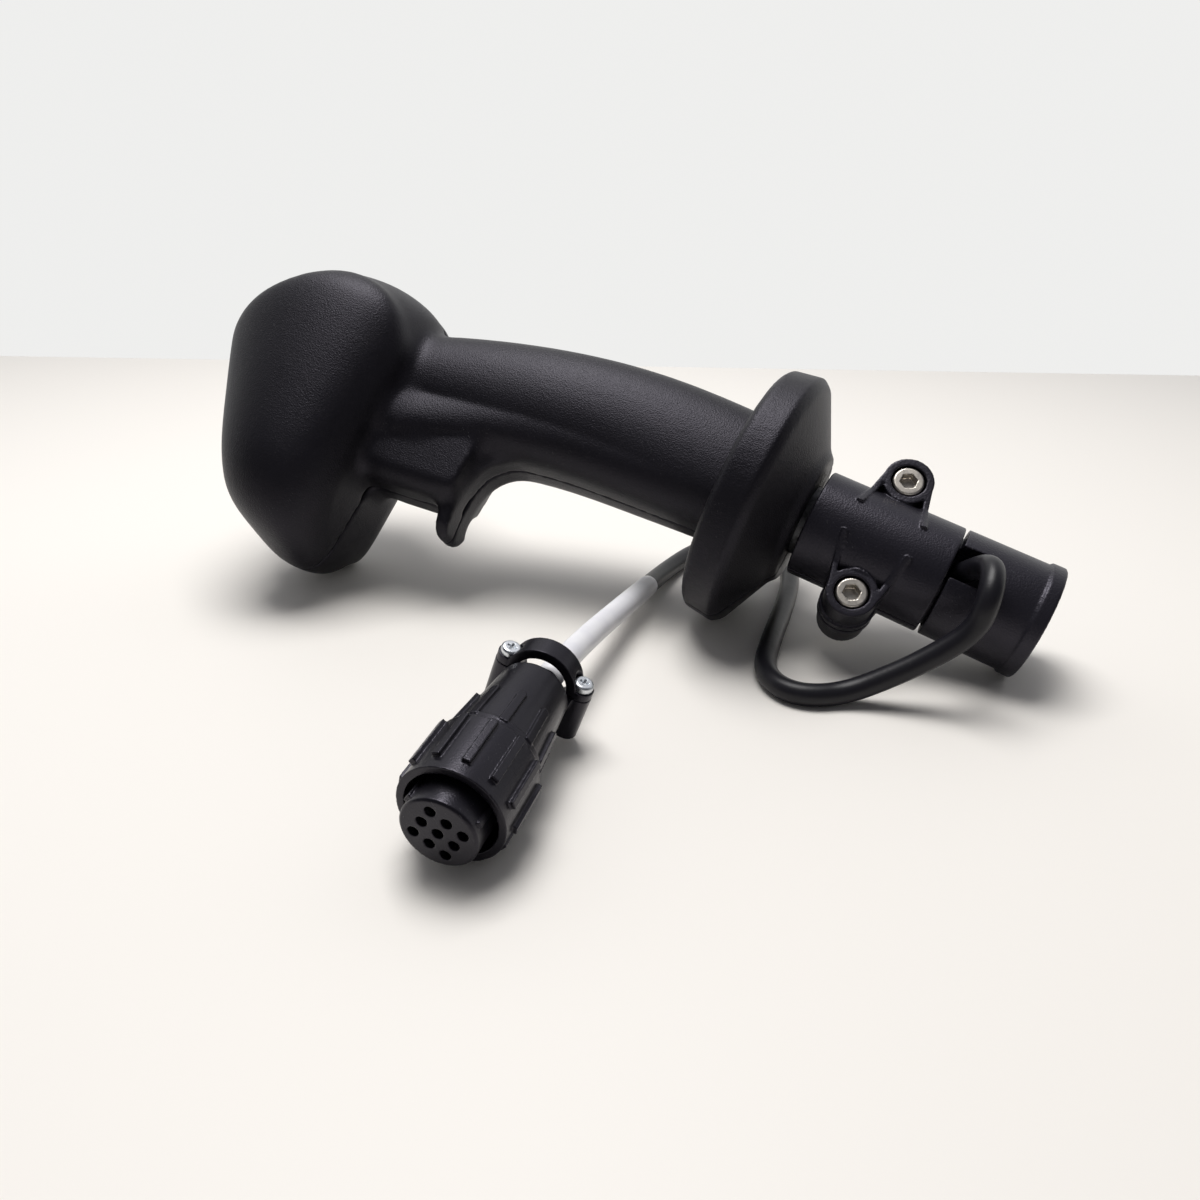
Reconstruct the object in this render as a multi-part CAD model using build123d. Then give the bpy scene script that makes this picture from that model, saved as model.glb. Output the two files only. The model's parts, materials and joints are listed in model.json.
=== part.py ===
from build123d import *
import os
from math import atan, copysign, cos, pi, radians, sin, sqrt, tan

os.makedirs("parts", exist_ok=True)

# A multi-function control handle, lying on a table with its lead and plug.
# The handle is drawn upright first: Z runs up the lever axis and is zero at the
# top of the clamp collar, +X is the operator's side, +Y is the side of the screw
# heads. It is laid down at the end. All sizes are in millimetres and degrees.

# Fits
fit = 0.05
seam = 0.05
slack = 0.3

# Moulded grip
wall = 2.6
grip_front = 27.0
grip_back = 20.0
grip_half = 19.5
panel_half = 16.2
panel_round = 7.0
hook_reach = 62.8
hook_half = 10.5
hook_thick = 5.0
hook_height = 110.5

# Head
head_base = 147.0
neck_top = head_base + 5.0
neck_front = 2.0
neck_back = 50.8
neck_flare = 6.0
head_front = 15.5
head_back = 100.5
head_half = 37.0
head_rise = 71.0
head_middle = 25.0
head_centre = 35.0
head_fullness = 0.74
head_bulge = 0.006
face_tilt = 30.0
rim_width = 3.0
plate_thick = 2.5
plate_recess = 0.6
seal_thick = 1.0
seal_width = 1.8

# Hand rest
rest_radius = 44.3
rest_front_radius = 43.2
rest_front = 26.0
rest_edge = 15.2
hub_radius = 24.5
hub_end = 2.2
rest_round = 2.0

# Lever core and base
core_radius = 12.0
core_bore = 9.5
core_top = 46.0
core_end = -38.0
collar_radius = 18.2
collar_bore = 15.0
collar_length = 45.0
split_gap = 1.0
slit = 1.1
tube_length = 30.5
tube_bore = 14.5
lever_seat = 17.0
ring_radius = 18.9
ring_length = 4.6
slot_width = 11.5
slot_length = 12.0
slot_corner = 3.0
collar_turn = 6.0

# Collar ears and their screws
ear_reach = 21.6
ear_level = -22.5
ear_height = 12.5
ear_boss = 8.0
ear_foot = 3.2
rib_thick = 2.0
rib_spread = 11.5
rib_end = 5.5
bolt_head_radius = 5.0
bolt_head = 6.0
bolt_radius = 3.0
bolt_hole = 3.25
bolt_sink = 6.3
nut_flats = 10.0
nut_height = 5.0

# Shell screws
boss_radius = 3.6
screw_radius = 1.45
screw_pilot = 1.5
screw_clear = 1.8
screw_head_radius = 2.9
screw_head = 2.0
screw_seat = 6.0
screw_bite = 9.0
screw_spots = [(-14.0, 60.0), (30.0, 122.0), (0.0, head_base + 37.0), (78.0, head_base + 16.0)]

# Controls on the face
button_radius = 6.0
button_proud = 3.2
button_travel = 2.0
button_spots = [(-21.0, 9.5), (-21.0, -9.5), (-2.5, 11.5), (-2.5, -11.5)]
skirt_step = 0.7
skirt_height = 3.0
button_round = 1.1
plunger_radius = 2.4
housing_floor = 1.2
bezel_radius = 8.0
bezel_height = 1.2
barrel_radius = 7.4
barrel_depth = 13.0
nut_ring = 2.2
nut_ring_radius = 8.8
wheel_radius = 11.0
wheel_width = 7.0
wheel_spot = 19.0
wheel_depth = 6.0
wheel_axle = 1.5
wheel_notches = 24
notch_radius = 0.75
wheel_gap = 0.6
bracket_long = 16.0
bracket_floor = 1.5
window_frame = 2.0
socket_size = (14.0, 12.0, 6.0)
cheek_thick = 2.0
board_thick = 1.6
board_long = 1.68 * head_half
board_wide = 0.97 * head_half
face_screw_radius = 1.2
face_screw_head = 2.2
face_screw_long = 9.0
face_screw_spots = [(-31.5, 4.5), (-31.5, -4.5), (31.0, 6.3), (31.0, -6.3)]
lug_radius = 2.4

# Cable and plug
cable_radius = 3.5
exit_angle = 70.0
exit_level = -52.0
label_radius = 3.85
label_length = 94.0
plug_nose = 9.7
plug_holes = 1.4
key_places = [(20, 2.4), (140, 1.6), (255, 1.6)]
key_height = 0.7
key_start = 2.0
key_length = 9.0
contact_sink = 3.0
contact_bore = 0.8
contact_bore_depth = 8.0
plug_pitch = 4.45
plug_twist = 14.9
ring_bore = 11.7
ring_wall = 2.0
ring_rib = 1.2
ring_start = 6.0
ring_span = 19.0
ring_ribs = 12
ring_phase = 25.0
ring_rib_width = 2.0
ring_plain = 3.4
ring_lip = 4.0
ring_play = 0.4
stop_rim = 0.9
stop_thick = 0.3
shell_radius = 12.6
shell_end_radius = 9.9
shell_span = 28.0
shell_ribs = 10
shell_rib_width = 2.2
shell_rib_length = 13.0
shell_rib_height = 1.4
shell_rib_start = 1.5
shell_band = 2.5
shell_step = 0.7
insert_depth = 10.0
gland_wall = 3.0
gland_play = 0.35
trough_bore = 7.6
clamp_span = 14.0
clamp_ear = 10.9
ear_size = 3.4
ear_depth = 13.5
saddle_thick = 2.5
split_level = 1.0
clamp_screw_radius = 1.4
clamp_head_radius = 2.85
clamp_head = 2.0
clamp_screw_long = 9.0
clamp_cross = 2.6
clamp_cross_width = 0.7
clamp_cross_depth = 0.8
saddle_width = 6.4

# How the handle and the plug lie, on a table whose X runs along the lever
lie_roll = 42.0
plug_place = (-38.1, -161.9)
plug_turn = 97.0
plug_rise = 5.4
plug_roll = 19.7
label_start = 60.0

# The lead from the exit to the plug, on that table. It leaves the collar, drops to the
# table, turns back behind the hand rest and comes out again to the plug.
lead_run = 4.8
lead_points = [
    (58.6, -22.3, 42.0),
    (59.1, -30.6, 36.9),
    (57.4, -31.5, 26.6),
    (48.9, -34.7, 18.3),
    (39.0, -38.8, 11.0),
    (26.2, -44.3, 3.55),
    (16.0, -51.5, 3.55),
    (7.0, -50.6, 3.55),
    (-0.5, -42.0, 3.55),
    (-3.6, -23.1, 3.55),
    (-7.1, 7.7, 3.55),
    (-11.4, 31.2, 3.55),
    (-19.0, 48.8, 3.55),
    (-32.7, 57.0, 3.55),
    (-47.0, 52.5, 3.55),
    (-54.2, 36.1, 3.55),
    (-56.6, 12.0, 3.9),
]
clamp_bend = 64.5


def curve(points, tangents):
    """A smooth line through points that leaves and arrives along the tangents."""
    return Spline(*points, tangents=tangents)


def closed_section(plane, front, back, half, middle, fullness):
    """An egg-shaped face: two smooth arcs that meet at the widest place."""
    lead = middle - front
    trail = back - middle
    f = fullness
    nose = curve(
        [(middle, -half), (middle - f * lead, -f * half), (front, 0), (middle - f * lead, f * half), (middle, half)],
        [(-1, 0), (1, 0)],
    )
    tail = curve(
        [(middle, half), (middle + f * trail, f * half), (back, 0), (middle + f * trail, -f * half), (middle, -half)],
        [(1, 0), (-1, 0)],
    )
    return plane * make_face(Wire([nose, tail]))


def grip_section(level, front, back, half, flat, crease, inset):
    """A grip section: round in front, with a crease each side and a flatter back."""
    h = half - inset
    f = front + inset
    b = back - inset
    c = crease
    ch = 0.955 * h
    middle = f + 0.52 * (c - f)
    nose = Spline(
        (c, -ch), (middle, -h), (f + 0.14 * (c - f), -0.66 * h), (f, 0),
        (f + 0.14 * (c - f), 0.66 * h), (middle, h), (c, ch),
    )
    tail = Spline((c, ch), (b - 1.0, flat - 0.6 * inset), (b, 0), (b - 1.0, -flat + 0.6 * inset), (c, -ch))
    return Plane((0, 0, level)) * make_face(Wire([nose, tail]))


def grip_rows():
    """Sections of the hand grip from the hand rest up into the head.

    Each has its level, front, back, half width, half width of the back face and crease.
    """
    top = neck_top
    return [
        (rest_edge - 2.0, grip_front, grip_back, grip_half - 0.6, 11.0, 10.0),
        (0.33 * top, grip_front + 0.3, grip_back + 0.8, grip_half, 11.5, 10.5),
        (0.52 * top, grip_front - 1.8, grip_back + 3.2, grip_half, 12.0, 11.0),
        (0.69 * top, grip_front - 6.5, grip_back + 8.0, grip_half - 0.4, 12.0, 14.0),
        (0.84 * top, grip_front - 12.5, grip_back + 16.0, grip_half - 1.4, 12.5, 18.0),
        (top, grip_front - 21.0, grip_back + 24.0, grip_half - 2.0, 13.0, 22.0),
    ]


def grip_solid(inset, low, high):
    rows = [(z, f, b, h, w, c) for z, f, b, h, w, c in grip_rows()]
    sections = [grip_section(z, -f, b, h, w, c, inset) for z, f, b, h, w, c in rows]
    body = loft(sections)
    keep = Pos(0, 0, (low + high) / 2) * Box(200, 200, high - low)
    return body & keep


def neck_solid(inset):
    """The deep flat-sided neck between the hook and the head."""
    low = hook_height + 1.5 + inset
    high = neck_top + 2.0
    sections = []
    for level, shift in ((low, 0.0), (high, neck_flare)):
        front = neck_front + shift
        back = neck_back + shift
        wide = 2 * (panel_half - inset)
        deep = back - front - 2 * inset
        mid = (front + back) / 2
        outline = Plane((mid, 0, level)) * RectangleRounded(deep, wide, panel_round - 0.4 * inset)
        sections.append(outline)
    return loft(sections)


def hook_solid():
    """The hand stop that sweeps out of the back of the grip under the neck."""
    h = hook_height
    t = hook_thick
    r = hook_reach
    under = Spline(
        (grip_back + 2.6, h - 29.0), (grip_back + 8.6, h - 7.6), (grip_back + 14.0, h - 2.3),
        (0.67 * r, h), (r - 3.2, h - 1.4), tangents=[(0.12, 1), (1, -0.16)],
    )
    tip = ThreePointArc((r - 3.2, h - 1.4), (r - 0.1, h + 0.7), (r - 2.2, h + 3.2))
    over = Spline(
        (r - 2.2, h + 3.2), (r - 12.0, h + t + 2.5), (r - 26.0, h + t + 8.0), tangents=[(-1, 0.2), (-1, 0.1)],
    )
    back_line = Polyline((r - 26.0, h + t + 8.0), (grip_back - 8.0, h - 8.0), (grip_back + 2.6, h - 29.0))
    side = Plane.XZ * make_face(Wire([under, tip, over] + back_line.edges()))
    slab = extrude(side, hook_half, both=True)
    nose = 9.0
    plan = Pos(r / 2 - 10, 0, h - 10) * extrude(
        RectangleRounded(r + 20, 2 * hook_half, nose), 60, both=True
    )
    return slab & plan


def fan(fraction):
    """The plane of a head section: it turns from level to the tilt of the face."""
    reach = head_rise / tan(radians(face_tilt))
    turn = radians(fraction * face_tilt)
    pivot = head_middle + reach
    return Plane((pivot, 0, head_base), x_dir=(cos(turn), 0, -sin(turn)), z_dir=(sin(turn), 0, cos(turn)))


# Head sections: part of the tilt, then front, back and half width as parts of the
# head's own reach, counted from its middle
head_rows = [
    (0.03, 0.70, 0.74, 0.52),
    (0.09, 0.86, 0.90, 0.74),
    (0.22, 0.97, 0.98, 0.91),
    (0.42, 1.0, 1.0, 1.0),
    (0.62, 0.91, 1.0, 1.0),
    (0.8, 0.71, 0.98, 0.94),
    (0.93, 0.48, 0.94, 0.84),
    (1.0, 0.30, 0.87, 0.73),
]


def head_outline(row, inset):
    """One section of the head, drawn in the turning plane; the room starts a wall higher."""
    fraction, front, back, half = row
    plane = fan(fraction)
    plane = plane.offset(inset * (1 - fraction))
    fullness = head_fullness + head_bulge * 4 * fraction * (1 - fraction)
    pivot = head_middle + head_rise / tan(radians(face_tilt))
    turn = radians(fraction * face_tilt)
    near = head_centre - front * (head_centre + head_front)
    far = head_centre + back * (head_back - head_centre)
    near_r = (pivot - near) / cos(turn)
    far_r = (pivot - far) / cos(turn)
    middle = -(near_r + far_r) / 2
    return closed_section(plane, -near_r + inset, -far_r - inset, half * head_half - inset, middle, fullness)


def head_solid(inset):
    return loft([head_outline(row, inset) for row in head_rows])


def face_plane():
    """The plane of the face, centred on the opening."""
    base = fan(1.0)
    front, back = face_ends()
    return Plane(base.from_local_coords(Vector((front + back) / 2, 0, 0)), x_dir=base.x_dir, z_dir=base.z_dir)


def face_ends():
    pivot = head_middle + head_rise / tan(radians(face_tilt))
    row = head_rows[-1]
    near = head_centre - row[1] * (head_centre + head_front)
    far = head_centre + row[2] * (head_back - head_centre)
    return (near - pivot) / cos(radians(face_tilt)), (far - pivot) / cos(radians(face_tilt))


def face_shape(inset):
    """The outline of the face opening, grown or shrunk, in face coordinates."""
    front, back = face_ends()
    a = (back - front) / 2 - inset
    return closed_section(Plane.XY, -a, a, head_rows[-1][3] * head_half - inset, 0.0, head_fullness)


def revolve_profile(points):
    """A turned solid about the lever axis from (radius, level) points."""
    return revolve(Plane.XZ * make_face(Polyline(*points, close=True)), Axis.Z)


def rest_solid(inset, bore):
    """The hand rest: a rim, a cone and a hub, as one turned form."""
    profile = [
        (bore, rest_front + 1.0 - inset),
        (rest_front_radius - 2.0 - inset, rest_front + 1.0 - inset),
        (rest_front_radius - inset, rest_front - 0.8 - inset),
        (rest_radius - inset, rest_edge + 0.5),
        (rest_radius - rest_round - inset, rest_edge - rest_round + 0.3 * inset),
        (hub_radius - inset, hub_end + 2.4 + 0.6 * inset),
        (hub_radius - 2.6 - inset, hub_end + inset),
        (bore, hub_end + inset),
    ]
    return revolve_profile(profile)


def boss_set(inner, outer, radius):
    """Cylinders across the handle at the shell screws."""
    bosses = []
    for x, z in screw_spots:
        bosses.append(Pos(x, (inner + outer) / 2, z) * Rot(90, 0, 0) * Cylinder(radius, outer - inner))
    return bosses


def lug_set():
    """Lugs under the plate that its screws bite into, in face coordinates."""
    under = plate_recess + plate_thick
    low = under + seal_thick
    lugs = []
    for x, y in face_screw_spots:
        post = Pos(x, y, -(under + face_screw_long) / 2) * Cylinder(lug_radius, face_screw_long - under)
        outward = 1 if x > 0 else -1
        reach = rim_width + 3 * lug_radius + 12
        arm = Pos(x + outward * reach / 2, y, -(low + face_screw_long) / 2) * Box(
            reach, 2 * lug_radius, face_screw_long - low)
        lugs.append(post + arm)
    return lugs


def shell_pair():
    """The two moulded halves of the grip, hollow, with screw bosses."""
    outer = grip_solid(0.0, rest_edge - 2.0, neck_top) + neck_solid(0.0) + hook_solid()
    outer = outer + head_solid(0.0) + rest_solid(0.0, core_radius + fit)
    room = head_solid(wall) + grip_solid(wall, core_top + slack, neck_top) + neck_solid(wall)
    seat = revolve_profile([(0, hub_end - 1), (core_radius + fit, hub_end - 1), (core_radius + fit, core_top + slack),
                            (0, core_top + slack)])
    hollow = rest_solid(wall, core_radius + wall + 1.0)
    hollow_depth = rest_front - hub_end - 2 * wall
    hollow = hollow & (Pos(0, 0, (hub_end + rest_front) / 2) * Cylinder(rest_radius + 5, hollow_depth))
    face = face_plane()
    depth = plate_recess + plate_thick + seal_thick
    pocket = face * (Pos(0, 0, -depth) * extrude(face_shape(rim_width), depth + 20))
    opening = face * (Pos(0, 0, -depth - 6) * extrude(face_shape(rim_width + seal_width + 0.4), 12))
    body = outer - pocket - room - seat - hollow
    limit = head_half + 5
    bosses = [b & outer for b in boss_set(-limit, limit, boss_radius)]
    body = body + bosses
    body = body - opening - seat
    body = body + [face * (lug & (face.location.inverse() * outer)) for lug in lug_set()]
    for x, y in face_screw_spots:
        body = body - face * (Pos(x, y, -face_screw_long / 2 - 2) * Cylinder(face_screw_radius, face_screw_long))
    halves = []
    for side in (1, -1):
        block = Pos(0, side * (seam / 2 + 100), 100) * Box(400, 200, 500)
        half = body & block
        if side > 0:
            cuts = boss_set(-1, screw_bite + slack, screw_pilot)
        else:
            cuts = boss_set(-limit, 1, screw_clear) + boss_set(-limit - 5, -screw_seat, screw_head_radius + 0.3)
        halves.append(half - cuts)
    return halves


def core_tube():
    """The aluminium tube that carries the grip and is clamped in the collar."""
    length = core_top - core_end
    tube = Pos(0, 0, (core_top + core_end) / 2) * (Cylinder(core_radius, length) - Cylinder(core_bore, length))
    return tube


def base_tube():
    """The slotted tube under the collar: a spigot above, the lever bore below."""
    top = -collar_length - slit
    end = top - tube_length
    spigot = Pos(0, 0, (top - 1.5) / 2) * Cylinder(collar_bore - fit, -1.5 - top)
    body = Pos(0, 0, (top + end) / 2) * Cylinder(collar_radius, tube_length)
    ring = Pos(0, 0, end + ring_length / 2) * Cylinder(ring_radius, ring_length)
    ring = chamfer(ring.edges().filter_by(GeomType.CIRCLE), 0.4)
    upper_bore = Pos(0, 0, -25) * Cylinder(core_radius + fit, 120)
    lever_bore = Pos(0, 0, end + lever_seat / 2 - 1) * Cylinder(tube_bore, lever_seat + 2)
    slot = Pos(0, collar_radius / 2 + 1, top - slot_length / 2 + slot_corner) * Box(
        slot_width, collar_radius + 2, slot_length + 2 * slot_corner
    )
    slot = fillet(slot.edges().filter_by(Axis.Y), slot_corner)
    tube = spigot + body + ring - upper_bore - lever_bore - slot
    return Rot(0, 0, collar_turn) * tube


def ear_plan(boss, spread):
    """The outline of an ear seen along its screw: a round boss that flares to the collar."""
    spine = Pos(ear_reach, 0) * Circle(boss)
    corners = [(rib_end, -spread), (rib_end, spread), (ear_reach, boss), (ear_reach, -boss)]
    flare = make_face(Polyline(*corners, close=True))
    return spine + flare


def ear_solid():
    """One ear of a collar half, on the +X side."""
    lay = Plane((0, 0, ear_level), x_dir=(1, 0, 0), z_dir=(0, 1, 0))
    plan = lay * ear_plan(ear_boss, rib_spread)
    inner = ear_plan(ear_boss - rib_thick, rib_spread - rib_thick) - Pos(ear_reach, 0) * Circle(ear_boss)
    top = collar_radius + 1.2
    block = extrude(plan, top, dir=(0, 1, 0))
    block = block - Pos(0, ear_foot, 0) * extrude(lay * inner, top + 5, dir=(0, 1, 0))
    edge = ear_reach - ear_boss
    cap = Plane.XY * make_face(Polyline(
        (0, 0), (0, top), (rib_end, collar_radius + 0.3), (edge + 1.0, ear_height), (ear_reach + 20, ear_height),
        (ear_reach + 20, 0), close=True))
    block = block & (Pos(0, 0, ear_level - 40) * extrude(cap, 80))
    foot = extrude(lay * (Pos(ear_reach, 0) * Circle(ear_boss + 0.9)), ear_foot, dir=(0, 1, 0))
    return block + foot


def collar_half(side):
    """One half of the clamp collar: side +1 takes the screw heads, -1 the nuts."""
    middle = -collar_length / 2
    ring = Pos(0, 0, middle) * Cylinder(collar_radius, collar_length)
    ring = chamfer(ring.edges().filter_by(GeomType.CIRCLE), 0.35)
    ears = ear_solid() + mirror(ear_solid(), about=Plane.YZ)
    body = ring + ears
    body = body - Pos(0, 0, middle) * Cylinder(collar_bore, collar_length + 10)
    body = body & (Pos(0, 50 + split_gap / 2, middle) * Box(120, 100, 100))
    for x in (-ear_reach, ear_reach):
        hole = Pos(x, ear_height / 2, ear_level) * Rot(90, 0, 0)
        body = body - hole * Cylinder(bolt_hole, 60)
        if side > 0:
            sink = Pos(x, ear_height - bolt_sink / 2 + 5, ear_level) * Rot(90, 0, 0)
            body = body - sink * Cylinder(bolt_head_radius + 0.6, bolt_sink + 10)
        else:
            pocket = Plane((x, ear_height - nut_height - slack, ear_level), x_dir=(1, 0, 0), z_dir=(0, 1, 0))
            hexagon = pocket * RegularPolygon(nut_flats / 2 + 0.1, 6, major_radius=False)
            body = body - extrude(hexagon, 20, dir=(0, 1, 0))
    if side < 0:
        body = mirror(body, about=Plane.XZ)
    return Rot(0, 0, collar_turn) * body


def collar_bolts():
    """Socket cap screws through the ears, with their hexagon sockets."""
    bolts = []
    seat = ear_height - bolt_sink
    end = -ear_height + 1.0
    for x in (-ear_reach, ear_reach):
        head = Pos(x, seat + bolt_head / 2, ear_level) * Rot(90, 0, 0) * Cylinder(bolt_head_radius, bolt_head)
        head = chamfer(head.edges().filter_by(GeomType.CIRCLE).sort_by(Axis.Y)[-1], 0.5)
        shank = Pos(x, (seat + end) / 2, ear_level) * Rot(90, 0, 0) * Cylinder(bolt_radius, seat - end)
        socket = Plane((x, seat + bolt_head - 3.2, ear_level), x_dir=(1, 0, 0), z_dir=(0, 1, 0))
        socket = extrude(socket * RegularPolygon(2.5, 6, major_radius=False), 10, dir=(0, 1, 0))
        bolts.append(Rot(0, 0, collar_turn) * (head + shank - socket))
    return bolts


def collar_nuts():
    """Hexagon nuts in the far half of the collar."""
    nuts = []
    for x in (-ear_reach, ear_reach):
        seat = Plane((x, -ear_height + slack, ear_level), x_dir=(1, 0, 0), z_dir=(0, 1, 0))
        nut = extrude(seat * RegularPolygon(nut_flats / 2, 6, major_radius=False), nut_height, dir=(0, 1, 0))
        bore = Pos(x, -ear_height, ear_level) * Rot(90, 0, 0) * Cylinder(bolt_radius + fit, 40)
        nuts.append(Rot(0, 0, collar_turn) * (nut - bore))
    return nuts


def shell_screws():
    """Pan head screws that join the halves, driven from the far side."""
    screws = []
    for x, z in screw_spots:
        place = Pos(x, 0, z) * Rot(90, 0, 0)
        head = place * Pos(0, 0, screw_seat + screw_head / 2) * Cylinder(screw_head_radius, screw_head)
        shank = place * Pos(0, 0, (screw_seat - screw_bite) / 2) * Cylinder(screw_radius, screw_seat + screw_bite)
        screws.append(head + shank)
    return screws


# Levels behind the plate, in face coordinates
board_level = -plate_recess - max(plate_thick + barrel_depth, wheel_depth + wheel_radius + 2 * bracket_floor)
socket_level = board_level - board_thick - socket_size[2]
socket_spot = -6.0


def face_parts():
    """The plate, its seal and everything that the plate carries, in face coordinates.

    The plate's top lies at minus the recess; X runs towards the operator's edge.
    """
    top = -plate_recess
    under = top - plate_thick
    plate = Pos(0, 0, under) * extrude(face_shape(rim_width + fit), plate_thick)
    seal = Pos(0, 0, under - seal_thick) * extrude(face_shape(rim_width + slack) - face_shape(rim_width + seal_width),
                                                 seal_thick)
    parts = {}
    caps = []
    bezels = []
    rings = []
    floor = under - barrel_depth
    skirt = button_radius + skirt_step
    shoulder = under
    for x, y in button_spots:
        plate = plate - Pos(x, y, under) * Cylinder(barrel_radius + fit, 20)
        bezel = Pos(x, y, top + bezel_height / 2) * Cylinder(bezel_radius, bezel_height)
        bezel = fillet(bezel.edges().filter_by(GeomType.CIRCLE).sort_by(Axis.Z)[-1], 0.5)
        barrel = Pos(x, y, (top + floor) / 2) * Cylinder(barrel_radius, top - floor)
        throat = Pos(x, y, top) * Cylinder(button_radius + fit, 40)
        well_floor = floor + housing_floor
        well = Pos(x, y, (shoulder + well_floor) / 2) * Cylinder(skirt + fit, shoulder - well_floor)
        throat = throat & (Pos(x, y, shoulder + 20) * Box(40, 40, 40))
        bezels.append(bezel + barrel - throat - well)
        rings.append(Pos(x, y, under - nut_ring / 2) * (
            Cylinder(nut_ring_radius, nut_ring) - Cylinder(barrel_radius + fit, nut_ring)))
        crown = top + bezel_height + button_proud
        stem_end = shoulder - skirt_height
        cap = Pos(x, y, (crown + stem_end) / 2) * Cylinder(button_radius, crown - stem_end)
        cap = fillet(cap.edges().filter_by(GeomType.CIRCLE).sort_by(Axis.Z)[-1], button_round)
        hem = Pos(x, y, (shoulder + stem_end) / 2 - fit / 2) * Cylinder(skirt, shoulder - stem_end - fit)
        plunger_end = well_floor + button_travel + slack
        plunger = Pos(x, y, (stem_end + plunger_end) / 2) * Cylinder(plunger_radius, stem_end - plunger_end)
        caps.append(cap + hem + plunger)
    parts["button_housings"] = Compound(children=bezels)
    parts["button_nuts"] = Compound(children=rings)
    for number, cap in enumerate(caps, 1):
        parts[f"push_button_{number}"] = cap
    slot_long = 2 * sqrt(wheel_radius ** 2 - wheel_depth ** 2) + 4 * wheel_gap
    slot_wide = wheel_width + 2 * wheel_gap
    window = Pos(wheel_spot, 0, under - 5) * extrude(RectangleRounded(slot_long, slot_wide, 1.0), 20)
    frame = Pos(wheel_spot, 0, top) * extrude(
        RectangleRounded(slot_long + 2 * window_frame, slot_wide + 2 * window_frame, window_frame + 1.0)
        - RectangleRounded(slot_long, slot_wide, 1.0), 1.0)
    plate = plate - window + frame
    hub = top - wheel_depth
    wheel = Pos(wheel_spot, 0, hub) * Rot(90, 0, 0) * Cylinder(wheel_radius, wheel_width)
    wheel = chamfer(wheel.edges().filter_by(GeomType.CIRCLE), 0.6)
    notch = Rot(90, 0, 0) * Cylinder(notch_radius, wheel_width + 2)
    notch_circle = wheel_radius + notch_radius / 3
    for k in range(wheel_notches):
        turn = 2 * pi * k / wheel_notches
        wheel = wheel - Pos(wheel_spot + notch_circle * sin(turn), 0, hub + notch_circle * cos(turn)) * notch
    wheel = wheel - Pos(wheel_spot, 0, hub) * Rot(90, 0, 0) * Cylinder(wheel_axle + fit, wheel_width + 2)
    cheek_gap = wheel_width / 2 + wheel_gap
    cheek_low = hub - wheel_radius - bracket_floor
    cradle = []
    for side in (1, -1):
        cheek = Pos(wheel_spot, side * (cheek_gap + cheek_thick / 2), (under + cheek_low) / 2) * Box(
            bracket_long, cheek_thick, under - cheek_low)
        cradle.append(cheek)
    cradle_floor = Pos(wheel_spot, 0, cheek_low - bracket_floor / 2) * Box(
        bracket_long, 2 * (cheek_gap + cheek_thick), bracket_floor)
    bracket = cradle[0] + cradle[1] + cradle_floor
    axle_hole = Pos(wheel_spot, 0, hub) * Rot(90, 0, 0) * Cylinder(wheel_axle, 40)
    bracket = bracket - axle_hole
    axle = Pos(wheel_spot, 0, hub) * Rot(90, 0, 0) * Cylinder(wheel_axle, 2 * (cheek_gap + cheek_thick))
    board = Pos(-2, 0, board_level - board_thick / 2) * Box(board_long, board_wide, board_thick)
    board = fillet(board.edges().filter_by(Axis.Z), 6)
    socket = Pos(socket_spot, 0, (board_level - board_thick + socket_level) / 2) * Box(
        socket_size[0], socket_size[1], board_level - board_thick - socket_level)
    posts = []
    for x, y in button_spots:
        gap = floor - board_level
        if gap > 0.01:
            posts.append(Pos(x, y, floor - gap / 2) * Cylinder(3.0, gap))
    board = board + socket
    if posts:
        board = board + posts
    screws = []
    sink = plate_thick / 2
    for x, y in face_screw_spots:
        plate = plate - Pos(x, y, top - plate_thick) * Cylinder(face_screw_radius + slack, 2 * plate_thick)
        plate = plate - Pos(x, y, top) * Cylinder(face_screw_head + slack, 2 * sink)
        head = Pos(x, y, top - sink / 2) * Cylinder(face_screw_head, sink)
        seat = top - sink
        shank = Pos(x, y, (seat - face_screw_long) / 2) * Cylinder(face_screw_radius, face_screw_long + seat)
        screws.append(head + shank)
    parts["face_plate"] = plate
    parts["face_seal"] = seal
    parts["face_screws"] = Compound(children=screws)
    parts["thumb_wheel"] = wheel
    parts["wheel_bracket"] = bracket
    parts["wheel_axle"] = axle
    parts["circuit_board"] = board
    return parts


# The plug, drawn on its own axis: Z runs from the mating face to the cable end, Y is up
shell_start = ring_start + ring_span + ring_play
shell_end = shell_start + shell_span
clamp_end = shell_end + clamp_span
body_end = shell_start + insert_depth
clamp_level = (shell_end + clamp_end) / 2


def plug_body():
    """The insert: a keyed nose with nine contact holes and the barrel behind it."""
    nose = Pos(0, 0, body_end / 2) * Cylinder(plug_nose, body_end)
    nose = chamfer(nose.edges().filter_by(GeomType.CIRCLE).sort_by(Axis.Z)[0], 0.5)
    stop = Pos(0, 0, ring_start + ring_span + ring_play / 2) * Cylinder(ring_bore + stop_rim, stop_thick)
    keys = []
    for angle, wide in key_places:
        key = Pos(plug_nose, 0, key_start + key_length / 2) * Box(2 * key_height, wide, key_length)
        keys.append(Rot(0, 0, angle) * key)
    body = nose + stop + keys
    for i in (-1, 0, 1):
        for j in (-1, 0, 1):
            hole = Pos(i * plug_pitch, j * plug_pitch, body_end / 2) * Cylinder(plug_holes, body_end + 2)
            body = body - Rot(0, 0, plug_twist) * hole
    return body


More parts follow.
